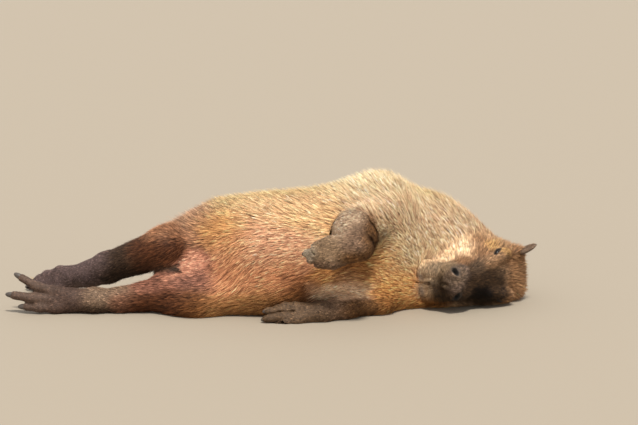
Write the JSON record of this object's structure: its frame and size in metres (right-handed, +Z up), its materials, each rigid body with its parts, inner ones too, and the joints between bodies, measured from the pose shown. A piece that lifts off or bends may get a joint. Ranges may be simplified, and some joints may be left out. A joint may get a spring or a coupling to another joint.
{
  "type": "capybara",
  "caption": "Life-size still model of a capybara asleep on its left side, hind legs stretched out along the floor and one forepaw hanging in front of its chest.",
  "frame": {"origin": "on the floor under the middle of the lying animal's box", "axes": "+Z up, through the animal from its left flank to its right one; +X from the hind feet to the head; the belly looks along -Y and the back along +Y"},
  "size_m": [1.4628, 0.5364, 0.3583],
  "materials": {
    "fur": "coarse straw-brown hair with darker roots, sparse over pink-brown skin on the belly",
    "dark_fur": "short dark brown hair of the face and lower legs",
    "bare_skin": "grey-brown leathery skin with fine short hair",
    "horn": "dull blue-grey nail with fine ridges along it",
    "eye": "wet dark brown eye"
  },
  "bodies": {
    "root": {"eye_right": "eye", "ear_right": "bare_skin", "eye_left": "eye", "ear_left": "bare_skin", "head": "dark_fur", "neck": "fur", "trunk": "fur", "upper_arm_right": "fur", "forearm_right": "dark_fur", "forepaw_right": "bare_skin", "thigh_right": "fur", "shank_right": "dark_fur", "hindfoot_right": "bare_skin", "claw_fore_right_1": "horn", "claw_fore_right_2": "horn", "claw_fore_right_3": "horn", "claw_fore_right_4": "horn", "claw_hind_right_1": "horn", "claw_hind_right_2": "horn", "claw_hind_right_3": "horn", "upper_arm_left": "fur", "forearm_left": "dark_fur", "forepaw_left": "bare_skin", "thigh_left": "fur", "shank_left": "dark_fur", "hindfoot_left": "bare_skin", "claw_fore_left_1": "horn", "claw_fore_left_2": "horn", "claw_fore_left_3": "horn", "claw_fore_left_4": "horn", "claw_hind_left_1": "horn", "claw_hind_left_2": "horn", "claw_hind_left_3": "horn"}
  },
  "joints": []
}
